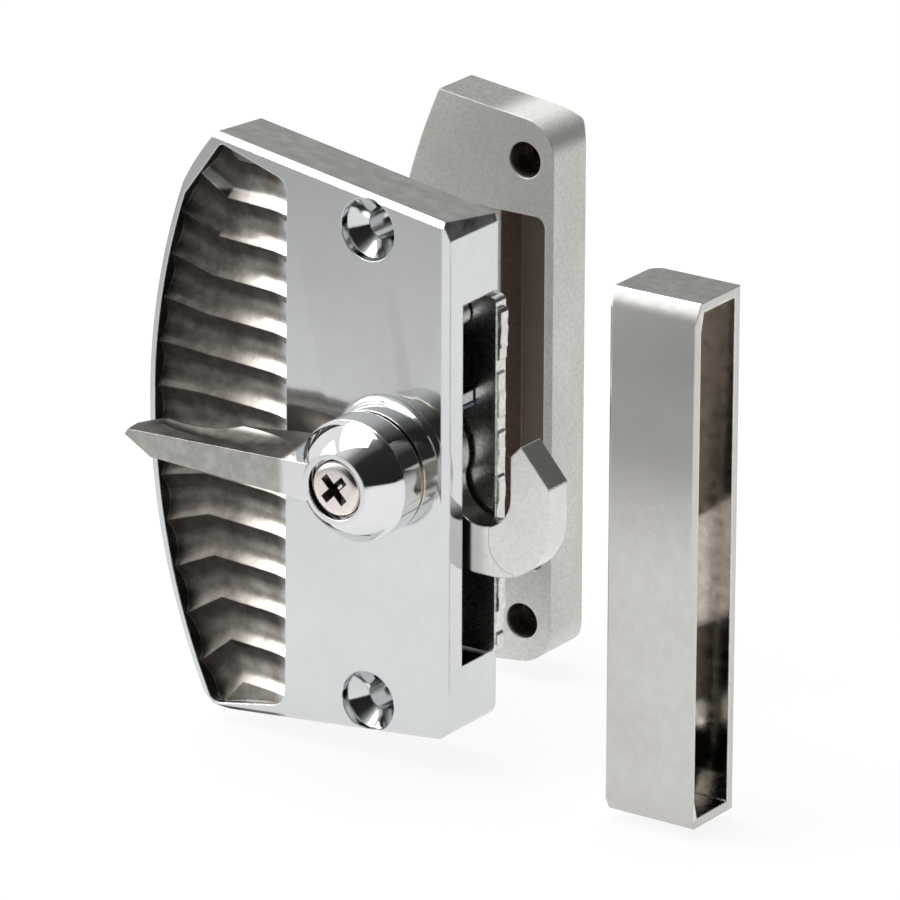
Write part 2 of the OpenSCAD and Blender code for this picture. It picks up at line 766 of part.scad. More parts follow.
// The dome is an arc in short steps, so that each step turns into an exact cone
module cap_profile() {
    r = cap_d / 2;
    shoulder = [r - cap_edge, cap_h];
    crown = [ring_d / 2, cone_h + cap_h];
    mid = dome_place(shoulder, crown, dome_r);
    from = turn_of(shoulder - mid);
    to = turn_of(crown - mid);
    steps = 6;
    polygon([[0, 0], [r, 0], [r, cap_h - cap_edge],
        for (i = [0:steps]) let (a = from + (to - from) * i / steps) mid + dome_r * [cos(a), sin(a)],
        [0, crown[1]]]);
}

function turn_of(v) = atan2(v[1], v[0]);

// Middle of a circle of radius r that passes through p and q and bulges away from the axis
function dome_place(p, q, r) =
    let (m = (p + q) / 2, d = q - p, h = sqrt(r * r - d * d / 4), n = unit([-d[1], d[0]]))
    m + n * h;

module cap_solid() {
    translate([0, cap_y, 0]) rotate([90, 0, 0]) rotate_extrude() cap_profile();
}

lever_y = ring_y + 0.3;
lever_top_z = lever_root_t / 2;
lever_mid_rise = (cone_h + cap_h) / 2 * tan(lever_rake);

// Lever seen from the front: a tapering bar with a blunt tip
module lever_front() {
    high = lever_top_z + cap_d / 4;
    polygon([[0, high], [-lever_l + 0.6, high], [-lever_l + 0.6, lever_top_z], [-lever_l, lever_top_z - 0.9],
        [-lever_l + 4.4, lever_top_z - lever_tip_t], [0, lever_top_z - lever_root_t]]);
}

// Lever seen from above: a straight front edge, a slanting rear edge and a step that clears the boss
module lever_plan() {
    inside = cap_y - 0.4;
    root = -cap_d / 2 - lever_boss_gap;
    polygon([[0, lever_y], [0, inside], [root, inside], [root, cap_y + lever_behind],
        [root - 1.5, cap_y + lever_behind], [-lever_l + 3, lever_y + lever_tip_d],
        [-lever_l - lap, lever_y + 0.4], [-lever_l - lap, lever_y]]);
}

// Lever seen from its end: the top face rises towards the door
module lever_side() {
    back = cap_y + lever_behind + lap;
    polygon([[lever_y - lap, -lever_root_t], [back, -lever_root_t],
        [back, lever_top_z + (back - lever_y) * tan(lever_rake)],
        [lever_y - lap, lever_top_z - lap * tan(lever_rake)]]);
}

// A long slim spindle shape that scoops the lever's top
module scoop() {
    arc_r = 40;
    sag = arc_r - sqrt(arc_r * arc_r - scoop_l * scoop_l / 4);
    belly = 3.4;
    translate([-cap_d / 2 - scoop_l / 2 - 0.6, ring_y + 4.7, lever_top_z + lever_mid_rise + belly - scoop_d])
        rotate([0, 90, 0]) rotate_extrude() intersection() {
            translate([0, -scoop_l / 2]) square([belly + lap, scoop_l]);
            translate([belly - arc_r, 0]) circle(r = arc_r, $fn = 360);
            square([2 * belly, scoop_l], center = true);
        }
}

module thumb_turn() color([0.78, 0.79, 0.79]) {
    difference() {
        union() {
            cap_solid();
            rotate([0, -lever_droop, 0]) difference() {
                intersection() {
                    up(ring_y - lap, cap_y + lever_behind + lap) lever_front();
                    translate([0, 0, -big / 2]) linear_extrude(height = big) lever_plan();
                    along_x(-lever_l - lap, lap) lever_side();
                }
                scoop();
            }
        }
        rod(recess_d, ring_y - lap, ring_y + recess_h);
        rod(thread_d + 0.4, ring_y, cap_y + lap);
        square_bar(turn_square + 2 * square_gap, cap_y - turn_grip - 0.1, cap_y + lap);
    }
}

module knob_screw() color([0.88, 0.85, 0.83]) {
    y0 = ring_y + recess_h - 0.3 - head_h;
    crown = 0.5;
    difference() {
        translate([0, y0 + head_h, 0]) rotate([90, 0, 0]) rotate_extrude() intersection() {
            square([head_d / 2, head_h]);
            crown_r = (head_d * head_d / 4 + crown * crown) / (2 * crown);
            translate([0, head_h - crown_r]) circle(r = crown_r, $fn = 180);
        }
        for (a = [45, 135]) rotate([0, a, 0]) translate([-cross_l / 2, y0 - lap, -cross_w / 2])
            cube([cross_l, cross_h + lap, cross_w]);
    }
    rod(thread_d - 0.8, y0 + head_h - eps, y0 + head_h + thread_l - 1);
}

module lock_washer() color([0.45, 0.45, 0.44]) {
    y1 = ring_y + recess_h - 0.02;
    difference() {
        rod(head_d - 0.6, y1 - 0.26, y1);
        rod(thread_d - 0.3, y1 - lap, y1 + lap);
    }
}

// Wave washer in the seam between the boss and the cap
module wave_washer() color([0.72, 0.62, 0.36]) {
    play = (seam - wave_t) / 2;
    difference() {
        rod(cap_d - 0.7, boss_y - play - wave_t, boss_y - play);
        rod(journal_d + 1.2, boss_y - seam - lap, boss_y + lap);
    }
}

// Outside pull, on the far side of the door leaf

core_right = pull_right - core_wall;
core_left = core_right - core_pocket_w;
grip_right = core_left - 1.8;
core_half = core_pocket_l / 2;

module pull_disc(inset) {
    translate([pull_left + pull_rim_r, mid_z]) circle(r = pull_rim_r - inset, $fn = 360);
}

module pull_outline() {
    far = pull_left - 2;
    low = mid_z - pull_half_left - 1;
    high = mid_z + pull_half_left + 1;
    intersection() {
        pull_disc(0);
        round_poly([[pull_right, mid_z - pull_half_right], [pull_right, mid_z + pull_half_right],
            [far, high], [far, low]], [pull_small_r, pull_small_r, 1, 1]);
    }
}

module grip_outline() {
    left = grip_right - grip_w;
    l = grip_l / 2;
    intersection() {
        pull_disc(grip_wall);
        round_poly([[left, mid_z - l], [grip_right, mid_z - l], [grip_right, mid_z + l], [left, mid_z + l]],
            [3, 1.5, 1.5, 3]);
    }
}

// A long wedge that bevels an outer edge of the outside pull between two points of its outline
module pull_edge(p, q) {
    run = q - p;
    over = 3;
    translate([p[0], door_t + pull_t, p[1]]) rotate([0, -atan2(run[1], run[0]), 0]) rotate([0, 90, 0])
        translate([0, 0, -over]) linear_extrude(height = norm(run) + 2 * over)
            polygon([[-lap, lap], [pull_bevel + lap, lap], [-lap, -pull_bevel - lap]]);
}

module rear_pull() color([0.73, 0.73, 0.7]) {
    outer_y = door_t + pull_t;
    left_top = [pull_left - 2, mid_z + pull_half_left + 1];
    right_top = [pull_right, mid_z + pull_half_right];
    left_bottom = [pull_left - 2, mid_z - pull_half_left - 1];
    right_bottom = [pull_right, mid_z - pull_half_right];
    difference() {
        up(door_t, outer_y) pull_outline();
        pull_edge(left_top, right_top);
        pull_edge(right_top, right_bottom);
        pull_edge(right_bottom, left_bottom);
        up(outer_y - grip_d, outer_y + lap) grip_outline();
        up(door_t - lap, door_t + back_pocket_d) intersection() {
            pull_disc(grip_wall);
            round_poly([[pull_left, mid_z - core_half], [core_left + 3, mid_z - core_half],
                [core_left + 3, mid_z + core_half], [pull_left, mid_z + core_half]], [1, 1, 1, 1]);
        }
        up(door_t - lap, door_t + core_pocket_d) round_poly(
            [[core_left, mid_z - core_half], [core_right, mid_z - core_half],
            [core_right, mid_z + core_half], [core_left, mid_z + core_half]], [1.6, 1.6, 1.6, 1.6]);
        for (z = screw_zs) translate([screw_x, 0, z]) {
            rod(lead_d, door_t - lap, door_t + lead_h);
            rod(core_d, door_t - lap, door_t + core_h);
        }
    }
}

// Keeper: a box open towards the jamb, with a slot for the hook in the side that faces the door

keeper_x = case_right + keeper_gap;
keeper_y = -keeper_d - 0.6;
keeper_top = keeper_z + keeper_h / 2;
keeper_bottom = keeper_z - keeper_h / 2;
keeper_slot_top = throat_z - throat_r + keeper_catch;
keeper_slot_y = hook_y + (hook_t - disc_h) / 2;

module keeper_side() {
    y0 = keeper_y;
    y1 = keeper_y + keeper_d;
    polygon([[y1, keeper_bottom], [y1, keeper_top], [y0 + keeper_bevel_d, keeper_top],
        [y0, keeper_top - keeper_bevel_h], [y0, keeper_bottom + keeper_bevel_h],
        [y0 + keeper_bevel_d, keeper_bottom]]);
}

module keeper_room() {
    w = keeper_wall;
    y0 = keeper_y + w;
    y1 = keeper_y + keeper_d - w;
    top = keeper_top - w;
    bottom = keeper_bottom + w;
    polygon([[y1, bottom], [y1, top], [y0 + keeper_bevel_d / 2, top], [y0, top - keeper_bevel_h],
        [y0, bottom + keeper_bevel_h], [y0 + keeper_bevel_d / 2, bottom]]);
}

// Keeper seen from above, with its closed side's upright edges rounded
module keeper_plan() {
    x1 = keeper_x + keeper_w;
    y1 = keeper_y + keeper_d;
    round_poly([[keeper_x, keeper_y], [x1, keeper_y], [x1, y1], [keeper_x, y1]],
        [keeper_edge_r, 0.2, 0.2, keeper_rear_r]);
}

// Stands a shape drawn in y and z along x
module along_x(x0, x1) {
    translate([x0, 0, 0]) rotate([90, 0, 90]) linear_extrude(height = x1 - x0) children();
}

module keeper() color([0.72, 0.72, 0.71]) {
    difference() {
        intersection() {
            along_x(keeper_x - lap, keeper_x + keeper_w + lap) keeper_side();
            translate([0, 0, keeper_bottom - lap]) linear_extrude(height = keeper_h + 2 * lap) keeper_plan();
        }
        along_x(keeper_x + keeper_wall, keeper_x + keeper_w + lap) keeper_room();
        translate([keeper_x - lap, keeper_slot_y - keeper_slot_w / 2, keeper_slot_top - keeper_slot_h])
            cube([keeper_wall + 2 * lap, keeper_slot_w, keeper_slot_h]);
        for (s = [-1, 1])
            translate([keeper_x - lap, keeper_y + keeper_d / 2, keeper_z + s * keeper_spacing / 2])
            rotate([0, 90, 0]) cylinder(d = keeper_hole_d, h = keeper_wall + 2 * lap);
    }
}

front_casting();
back_plate();
plate_screws();
thumb_turn();
knob_screw();
lock_washer();
wave_washer();
spindle();
thrust_washer();
hook();
detent_spring();
rear_pull();
keeper();
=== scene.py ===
"""Sliding screen door latch: finishes, small trim pieces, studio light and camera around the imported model."""

import json
import logging
import math
import random
from dataclasses import dataclass, field
from enum import Enum
from typing import Any, Callable, Iterable, Sequence

import bmesh
import bpy
from mathutils import Matrix, Vector

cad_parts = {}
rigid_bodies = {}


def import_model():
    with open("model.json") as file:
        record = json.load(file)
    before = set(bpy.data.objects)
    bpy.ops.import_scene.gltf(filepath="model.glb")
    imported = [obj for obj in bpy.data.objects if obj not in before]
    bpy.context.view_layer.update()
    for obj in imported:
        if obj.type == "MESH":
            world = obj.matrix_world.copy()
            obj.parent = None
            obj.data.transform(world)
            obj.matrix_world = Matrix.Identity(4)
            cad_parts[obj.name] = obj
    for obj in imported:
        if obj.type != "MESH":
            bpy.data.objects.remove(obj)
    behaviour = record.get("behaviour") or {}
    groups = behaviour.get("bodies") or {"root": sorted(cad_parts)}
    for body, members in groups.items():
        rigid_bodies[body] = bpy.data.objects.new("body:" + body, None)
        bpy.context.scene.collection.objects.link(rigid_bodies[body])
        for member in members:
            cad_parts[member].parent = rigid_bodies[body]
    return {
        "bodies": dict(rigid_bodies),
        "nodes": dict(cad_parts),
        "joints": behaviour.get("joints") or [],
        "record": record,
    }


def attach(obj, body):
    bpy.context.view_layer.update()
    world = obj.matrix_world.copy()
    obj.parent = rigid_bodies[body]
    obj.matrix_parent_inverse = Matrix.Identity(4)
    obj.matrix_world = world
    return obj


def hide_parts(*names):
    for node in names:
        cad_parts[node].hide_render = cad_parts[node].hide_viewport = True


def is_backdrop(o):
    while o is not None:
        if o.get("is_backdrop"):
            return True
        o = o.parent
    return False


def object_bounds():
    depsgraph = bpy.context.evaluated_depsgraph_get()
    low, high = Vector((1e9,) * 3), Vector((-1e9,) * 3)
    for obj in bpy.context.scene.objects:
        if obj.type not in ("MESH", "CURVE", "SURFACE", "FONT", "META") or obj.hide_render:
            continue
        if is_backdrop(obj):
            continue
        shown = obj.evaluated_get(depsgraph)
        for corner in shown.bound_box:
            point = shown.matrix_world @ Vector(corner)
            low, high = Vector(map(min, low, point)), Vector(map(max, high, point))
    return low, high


LOG = logging.getLogger("latch")
MM = 0.001

Colour = tuple[float, float, float, float]
Point = tuple[float, float, float]
Span = tuple[float, float]
Box = tuple[Point, Point]
Mask = Callable[[bpy.types.NodeTree], bpy.types.NodeSocket]

# Spans of noise that are stretched to the full range
SPECK_SPAN: Span = (0.3, 0.7)
CLOUD_SPAN: Span = (0.35, 0.65)
# Faces that meet at a smaller angle are smoothed together
SHARP_DEG = 28
# Points nearer to each other than this become one
WELD_M = 1e-7
BEVEL_SAMPLES = 4
QUARTER_TURN = math.pi / 2
EIGHTH_TURN = math.pi / 4


def linear(code: str) -> Colour:
    """Turns an sRGB hex value into linear light.

    Args:
        code: Six hex digits, such as "C4C6C8".

    Returns:
        Red, green, blue and alpha, in linear light.
    """
    parts = [int(code[i : i + 2], 16) / 255 for i in (0, 2, 4)]
    light = [p / 12.92 if p <= 0.04045 else ((p + 0.055) / 1.055) ** 2.4 for p in parts]
    return (light[0], light[1], light[2], 1.0)


def grey(value: float) -> Colour:
    """Gives an even grey of a linear value."""
    return (value, value, value, 1.0)


def add_node(
    tree: bpy.types.NodeTree, kind: str, inputs: dict[Any, Any] | None = None, **settings: Any
) -> bpy.types.Node:
    """Adds a node, sets its properties and fills its inputs.

    Args:
        tree: The node tree that takes the node.
        kind: The node's type name.
        inputs: Input name or index to a value, or to the output socket that feeds it.
        settings: Properties of the node itself.

    Returns:
        The new node.
    """
    node = tree.nodes.new(kind)
    for key, value in settings.items():
        setattr(node, key, value)
    for key, value in (inputs or {}).items():
        if isinstance(value, bpy.types.NodeSocket):
            tree.links.new(value, node.inputs[key])
        else:
            node.inputs[key].default_value = value
    return node


def ramp(
    tree: bpy.types.NodeTree, source: bpy.types.NodeSocket, stops: Sequence[tuple[float, Colour]]
) -> bpy.types.NodeSocket:
    """Maps a value to colours.

    Args:
        tree: The node tree.
        source: The value that is mapped.
        stops: Places from 0 to 1 with their linear colours.

    Returns:
        The colour output.
    """
    node = add_node(tree, "ShaderNodeValToRGB", {"Fac": source})
    elements = node.color_ramp.elements
    while len(elements) < len(stops):
        elements.new(0.5)
    for element, (place, colour) in zip(elements, stops):
        element.position = place
        element.color = colour
    return node.outputs["Color"]


def fade(
    tree: bpy.types.NodeTree, source: bpy.types.NodeSocket, span: Span, unit: float = 1.0
) -> bpy.types.NodeSocket:
    """Rises smoothly from 0 to 1 while the source goes through a span.

    Args:
        tree: The node tree.
        source: The value that is read.
        span: Where the result is 0 and where it is 1.
        unit: What the span's numbers are multiplied by, MM for millimetres.

    Returns:
        The faded value.
    """
    low, high = span
    node = add_node(
        tree,
        "ShaderNodeMapRange",
        {"Value": source, "From Min": low * unit, "From Max": high * unit, "To Min": 0.0, "To Max": 1.0},
        interpolation_type="SMOOTHSTEP",
    )
    return node.outputs["Result"]


def maths(tree: bpy.types.NodeTree, operation: str, a: Any, b: Any = 0.0) -> bpy.types.NodeSocket:
    """Combines two values or sockets by an operation, such as "MAXIMUM"."""
    return add_node(tree, "ShaderNodeMath", {0: a, 1: b}, operation=operation).outputs[0]


def times(tree: bpy.types.NodeTree, a: Any, b: Any) -> bpy.types.NodeSocket:
    """Multiplies two values or sockets."""
    return maths(tree, "MULTIPLY", a, b)


def mix_colour(tree: bpy.types.NodeTree, factor: Any, a: Any, b: Any) -> bpy.types.NodeSocket:
    """Blends from colour a, at factor 0, to colour b, at factor 1, each a value or a socket."""
    node = add_node(tree, "ShaderNodeMix", {"Factor": factor, "A": a, "B": b}, data_type="RGBA")
    return node.outputs["Result"]


def object_parts(tree: bpy.types.NodeTree) -> tuple[bpy.types.Node, bpy.types.Node]:
    """Splits the object's own position and normal.

    Args:
        tree: The node tree.

    Returns:
        The nodes that split the position and the normal.
    """
    coords = add_node(tree, "ShaderNodeTexCoord")
    place = add_node(tree, "ShaderNodeSeparateXYZ", {"Vector": coords.outputs["Object"]})
    facing = add_node(tree, "ShaderNodeSeparateXYZ", {"Vector": coords.outputs["Normal"]})
    return place, facing


def within(box: Box, blur: float = 0.25) -> Mask:
    """Masks the surface inside a box.

    Args:
        box: The box's low and high corners, in millimetres.
        blur: Width of the soft edge, in millimetres.

    Returns:
        The mask's builder.
    """

    def mask(tree: bpy.types.NodeTree) -> bpy.types.NodeSocket:
        """Builds the mask.

        Args:
            tree: The node tree.

        Returns:
            The mask.
        """
        place, _ = object_parts(tree)
        total: Any = 1.0
        for axis, start, end in zip("XYZ", *box):
            rise = fade(tree, place.outputs[axis], (start - blur, start + blur), MM)
            fall = fade(tree, place.outputs[axis], (end + blur, end - blur), MM)
            total = times(tree, total, times(tree, rise, fall))
        return total

    return mask


def top_above(height: float, slant: float) -> Mask:
    """Masks faces that look up, above a height.

    Args:
        height: The height in millimetres.
        slant: The upward part of the normal from which a face counts.

    Returns:
        The mask's builder.
    """
    soft_mm, soft_slant = 0.6, 0.12

    def mask(tree: bpy.types.NodeTree) -> bpy.types.NodeSocket:
        """Builds the mask.

        Args:
            tree: The node tree.

        Returns:
            The mask.
        """
        place, facing = object_parts(tree)
        up = fade(tree, facing.outputs["Z"], (slant, slant + soft_slant))
        return times(tree, up, fade(tree, place.outputs["Z"], (height, height + soft_mm), MM))

    return mask


# Where the masks begin and end: those named FACING are parts of the normal, the others are in millimetres
DISH_Y: Span = (-12.44, -12.1)
DISH_X: Span = (-17.8, -21)
DISH_FACING: Span = (-0.25, -0.5)
RIM_WALL_FACING: Span = (0.2, 0.5)
FLUTE_END_X: Span = (-23, -29.5)
FLUTE_ROOF_FACING: Span = (0.12, -0.3)
HOLLOW_Y: Span = (-10.6, -10.2)
HOLLOW_FACING: Span = (0.2, 0.6)
LEVER_X: Span = (-8.6, -10)
SCOOP_FACING: Span = (0.45, 0.75)
CROSS_REACH: Span = (2.4, 2.3)
CROSS_FACING: Span = (-0.93, -0.85)
KEEPER_ROOM: Box = ((37.2, -10.7, -43), (50.6, -1.8, 31.6))
PULL_POCKET: Box = ((-9.1, 27.0, -28.7), (-0.2, 33.6, 25.5))
PULL_UPPER_BORE: Box = ((-6.6, 27.0, 30.8), (-1.0, 34.0, 36.4))
PULL_LOWER_BORE: Box = ((-6.6, 27.0, -39.6), (-1.0, 34.0, -34.0))
# Heights above which a face that looks up belongs to a casting's top
CASE_TOP_MM = 34
KEEPER_EDGE_MM = 29
KEEPER_TOP_MM = 31
PULL_TOP_MM = 40


def finger_dish(tree: bpy.types.NodeTree) -> bpy.types.NodeSocket:
    """Masks the fluted dish, which lies behind the casting's flat face.

    Args:
        tree: The node tree.

    Returns:
        The mask.
    """
    place, facing = object_parts(tree)
    behind = fade(tree, place.outputs["Y"], DISH_Y, MM)
    left = fade(tree, place.outputs["X"], DISH_X, MM)
    front = fade(tree, facing.outputs["Y"], DISH_FACING)
    rim_wall = fade(tree, facing.outputs["X"], RIM_WALL_FACING)
    inside = maths(tree, "MAXIMUM", front, rim_wall)
    return times(tree, inside, times(tree, behind, left))


def flute_roofs_painted_shade(tree: bpy.types.NodeTree) -> bpy.types.NodeSocket:
    """Masks the upper half of each flute, which looks down; it is painted dark as shade.

    Args:
        tree: The node tree.

    Returns:
        The mask.
    """
    _, facing = object_parts(tree)
    down = fade(tree, facing.outputs["Z"], FLUTE_ROOF_FACING)
    return times(tree, down, finger_dish(tree))


def flute_ends_painted_shade(tree: bpy.types.NodeTree) -> bpy.types.NodeSocket:
    """Masks the flutes' ends under the rim, which are painted dark as shade.

    Args:
        tree: The node tree.

    Returns:
        The mask.
    """
    place, _ = object_parts(tree)
    outward = fade(tree, place.outputs["X"], FLUTE_END_X, MM)
    return times(tree, outward, finger_dish(tree))


def hollow_back(tree: bpy.types.NodeTree) -> bpy.types.NodeSocket:
    """Masks what faces the door inside the casting.

    Args:
        tree: The node tree.

    Returns:
        The mask.
    """
    place, facing = object_parts(tree)
    inside = fade(tree, place.outputs["Y"], HOLLOW_Y, MM)
    return times(tree, inside, fade(tree, facing.outputs["Y"], HOLLOW_FACING))


def lever_bar(tree: bpy.types.NodeTree) -> bpy.types.NodeSocket:
    """Masks the lever, which is only brushed, outside the round cap."""
    place, _ = object_parts(tree)
    return fade(tree, place.outputs["X"], LEVER_X, MM)


def lever_top_painted_reflection(tree: bpy.types.NodeTree) -> bpy.types.NodeSocket:
    """Masks the scooped top of the lever, left rough as it was cast and carrying a painted dark reflection.

    Args:
        tree: The node tree.

    Returns:
        The mask.
    """
    _, facing = object_parts(tree)
    up = fade(tree, facing.outputs["Z"], SCOOP_FACING)
    return times(tree, up, lever_bar(tree))


def screw_cross_painted_shade(tree: bpy.types.NodeTree) -> bpy.types.NodeSocket:
    """Masks the walls of a screw's cross recess near the hinge's axis, which are painted dark as shade.

    Args:
        tree: The node tree.

    Returns:
        The mask.
    """
    place, facing = object_parts(tree)
    sloped = fade(tree, facing.outputs["Y"], CROSS_FACING)
    near = fade(tree, maths(tree, "ABSOLUTE", place.outputs["X"]), CROSS_REACH, MM)
    level = fade(tree, maths(tree, "ABSOLUTE", place.outputs["Z"]), CROSS_REACH, MM)
    return times(tree, sloped, times(tree, near, level))


class Grain(Enum):
    """How a metal surface was left by its last process: how far its tone clouds and specks."""

    POLISHED = (0.25, 0.15)
    SATIN = (0.4, 0.3)
    CAST = (0.35, 0.65)
    ROLLED = (0.2, 0.4)


@dataclass(frozen=True)
class Zone:
    """A stretch of a surface with a tone of its own; in some zones that tone is painted shade or painted light.
    """

    mask: Mask
    colour: str
    shade: str
    roughness: float


@dataclass(frozen=True)
class MetalFinish:
    """A metal with its plating, its texture, its worn edges and the zones that differ."""

    name: str
    colour: str
    shade: str
    roughness: float
    grain: Grain
    # A grain that is too fine to show is drawn as coarse as it needs to be
    grain_mm: float
    relief_mm: float
    edge_mm: float
    metallic: float = 1.0
    zones: tuple[Zone, ...] = ()
    # Plating clouds slowly over this length
    cloud_mm: float = 14.0
    swing: float = 0.03
    least_roughness: float = 0.02
    relief_strength: float = 0.6

    def material(self) -> bpy.types.Material:
        """Builds the finish as a node material.

        Returns:
            The material.
        """
        made = bpy.data.materials.new(self.name)
        made.use_nodes = True
        tree = made.node_tree
        tree.nodes.clear()
        place = add_node(tree, "ShaderNodeTexCoord").outputs["Object"]
        per_m = 1 / (self.grain_mm * MM)
        speck = add_node(
            tree, "ShaderNodeTexNoise", {"Vector": place, "Scale": per_m, "Detail": 3.0, "Roughness": 0.6}
        ).outputs["Fac"]
        cloud = add_node(
            tree, "ShaderNodeTexNoise", {"Vector": place, "Scale": 1 / (self.cloud_mm * MM), "Detail": 2.0}
        ).outputs["Fac"]
        clouding, specking = self.grain.value
        clouded = times(tree, fade(tree, cloud, CLOUD_SPAN), clouding)
        specked = times(tree, fade(tree, speck, SPECK_SPAN), specking)
        tone = maths(tree, "ADD", clouded, specked)
        colour = mix_colour(tree, tone, linear(self.colour), linear(self.shade))
        rough = add_node(
            tree,
            "ShaderNodeMapRange",
            {
                "Value": speck,
                "From Min": SPECK_SPAN[0],
                "From Max": SPECK_SPAN[1],
                "To Min": max(self.roughness - self.swing, self.least_roughness),
                "To Max": self.roughness + self.swing,
            },
        ).outputs["Result"]
        for zone in self.zones:
            share = zone.mask(tree)
            mottled = mix_colour(tree, fade(tree, speck, SPECK_SPAN), linear(zone.shade), linear(zone.colour))
            colour = mix_colour(tree, share, colour, mottled)
            rough = maths(tree, "ADD", rough, times(tree, share, zone.roughness - self.roughness))
        edge = add_node(
            tree, "ShaderNodeBevel", {"Radius": self.edge_mm * MM}, samples=BEVEL_SAMPLES
        ).outputs["Normal"]
        bump = add_node(
            tree,
            "ShaderNodeBump",
            {
                "Strength": self.relief_strength,
                "Distance": self.relief_mm * MM,
                "Height": speck,
                "Normal": edge,
            },
        ).outputs["Normal"]
        shader = add_node(
            tree,
            "ShaderNodeBsdfPrincipled",
            {"Base Color": colour, "Metallic": self.metallic, "Roughness": rough, "Normal": bump},
        )
        add_node(tree, "ShaderNodeOutputMaterial", {"Surface": shader.outputs["BSDF"]})
        return made


# Bright chrome on polished zinc: a cool mirror with a faint ripple left by the wheel. The dish is browner and
# painted darker as shade in the hollow, its flutes' ends and down-facing roofs painted darker still as shade;
# the upper edges are softer, the top was never buffed and is painted darker as shade, the hollow back is darker
# and rougher
CASE_CHROME = MetalFinish(
    name="chromed_zinc_polished",
    colour="D6D8D9",
    shade="C9CBCD",
    roughness=0.1,
    grain=Grain.POLISHED,
    grain_mm=2.5,
    relief_mm=0.01,
    edge_mm=0.35,
    zones=(
        # The dish: browner, and painted darker as shade in the hollow
        Zone(finger_dish, "A8A39C", "8C867F", roughness=0.21),
        # Painted shade: the flutes' ends under the rim
        Zone(flute_ends_painted_shade, "736E68", "57524D", roughness=0.34),
        # Painted shade: the flutes' down-facing roofs
        Zone(flute_roofs_painted_shade, "524D48", "3A3632", roughness=0.26),
        Zone(top_above(CASE_TOP_MM, slant=0.25), "D3D3D0", "C4C4C1", roughness=0.28),
        # The top: rougher, and painted darker as shade
        Zone(top_above(CASE_TOP_MM, slant=0.9), "72736F", "5E5F5B", roughness=0.55),
        Zone(hollow_back, "8C8B87", "7A7975", roughness=0.45),
    ),
)
# The same chrome on the small round knob, which is buffed harder; its lever is only brushed, and the lever's
# scooped top carries a painted dark reflection
KNOB_CHROME = MetalFinish(
    name="chromed_zinc_buffed",
    colour="E2E3E4",
    shade="D6D8DA",
    roughness=0.06,
    grain=Grain.POLISHED,
    grain_mm=2.0,
    relief_mm=0.006,
    edge_mm=0.3,
    zones=(
        Zone(lever_bar, "BAB8B3", "A6A49E", roughness=0.22),
        # Painted reflection: the lever's scooped top is painted dark
        Zone(lever_top_painted_reflection, "625F5A", "4B4844", roughness=0.34),
    ),
)
# Chrome over a linished face: fine marks and a warmer shade. Its upper bevel carries a painted highlight,
# its end is dull and painted darker as shade, and its inside carries a painted reflection, painted lighter
KEEPER_CHROME = MetalFinish(
    name="chromed_zinc_linished",
    colour="CBC9C5",
    shade="BFBCB7",
    roughness=0.2,
    grain=Grain.SATIN,
    grain_mm=1.6,
    relief_mm=0.008,
    edge_mm=0.3,
    zones=(
        # Painted highlight: the keeper's upper bevel is painted lighter
        Zone(top_above(KEEPER_EDGE_MM, slant=0.25), "F1F0ED", "E6E5E2", roughness=0.42),
        # The keeper's end: duller, and painted darker as shade
        Zone(top_above(KEEPER_TOP_MM, slant=0.9), "7B7B77", "6A6A66", roughness=0.42),
        # Painted reflection: the keeper's inside is painted lighter
        Zone(within(KEEPER_ROOM), "E4E0DB", "CBC6C0", roughness=0.1),
    ),
)
# Nickel plated over a rumbled casting: bright, with fine pits
HOOK_NICKEL = MetalFinish(
    name="nickelled_zinc_rumbled",
    colour="DEDDD9",
    shade="CBCAC5",
    roughness=0.22,
    grain=Grain.SATIN,
    grain_mm=0.7,
    relief_mm=0.02,
    edge_mm=0.3,
)
# Zinc as it left the die: matt grey with a sparkle; the cored pocket and the bores are painted dark brown
# as shade, and the top is painted darker as shade
CAST_ZINC = MetalFinish(
    name="zinc_as_cast",
    colour="E6E6E2",
    shade="D0D0CA",
    roughness=0.5,
    grain=Grain.CAST,
    grain_mm=0.55,
    relief_mm=0.04,
    edge_mm=0.3,
    metallic=0.8,
    zones=(
        # Painted shade: the cored pocket and both bores are painted dark brown
        Zone(within(PULL_POCKET), "A09084", "857569", roughness=0.6),
        Zone(within(PULL_UPPER_BORE), "7E6E60", "54483D", roughness=0.45),
        Zone(within(PULL_LOWER_BORE), "7E6E60", "54483D", roughness=0.45),
        # The pull's top: rougher, and painted darker as shade
        Zone(top_above(PULL_TOP_MM, slant=0.75), "9C9D99", "85867F", roughness=0.6),
    ),
)
# The back plate's edge was trimmed and shines where it was cut
TRIMMED_ZINC = MetalFinish(
    name="zinc_trimmed",
    colour="E6E6E2",
    shade="C6C5C0",
    roughness=0.28,
    grain=Grain.CAST,
    grain_mm=0.8,
    relief_mm=0.04,
    edge_mm=0.2,
)
# Bright zinc plate on a turned screw, with painted shade darkening the cross
SCREW_STEEL = MetalFinish(
    name="zinc_plated_steel",
    colour="EFE6E2",
    shade="DCD4CF",
    roughness=0.2,
    grain=Grain.ROLLED,
    grain_mm=0.5,
    relief_mm=0.008,
    edge_mm=0.1,
    # Painted shade in the cross recess
    zones=(Zone(screw_cross_painted_shade, "5A5451", "443F3D", roughness=0.35),),
)
# Blued spring strip: dark blue-grey with a dull shine
BLUED_STEEL = MetalFinish(
    name="blued_spring_steel",
    colour="6E7684",
    shade="575E6B",
    roughness=0.28,
    grain=Grain.ROLLED,
    grain_mm=0.4,
    relief_mm=0.005,
    edge_mm=0.05,
)
# Rolled spring bronze, golden
SPRING_BRONZE = MetalFinish(
    name="spring_bronze",
    colour="C9A862",
    shade="B08E4C",
    roughness=0.25,
    grain=Grain.ROLLED,
    grain_mm=0.6,
    relief_mm=0.006,
    edge_mm=0.05,
)


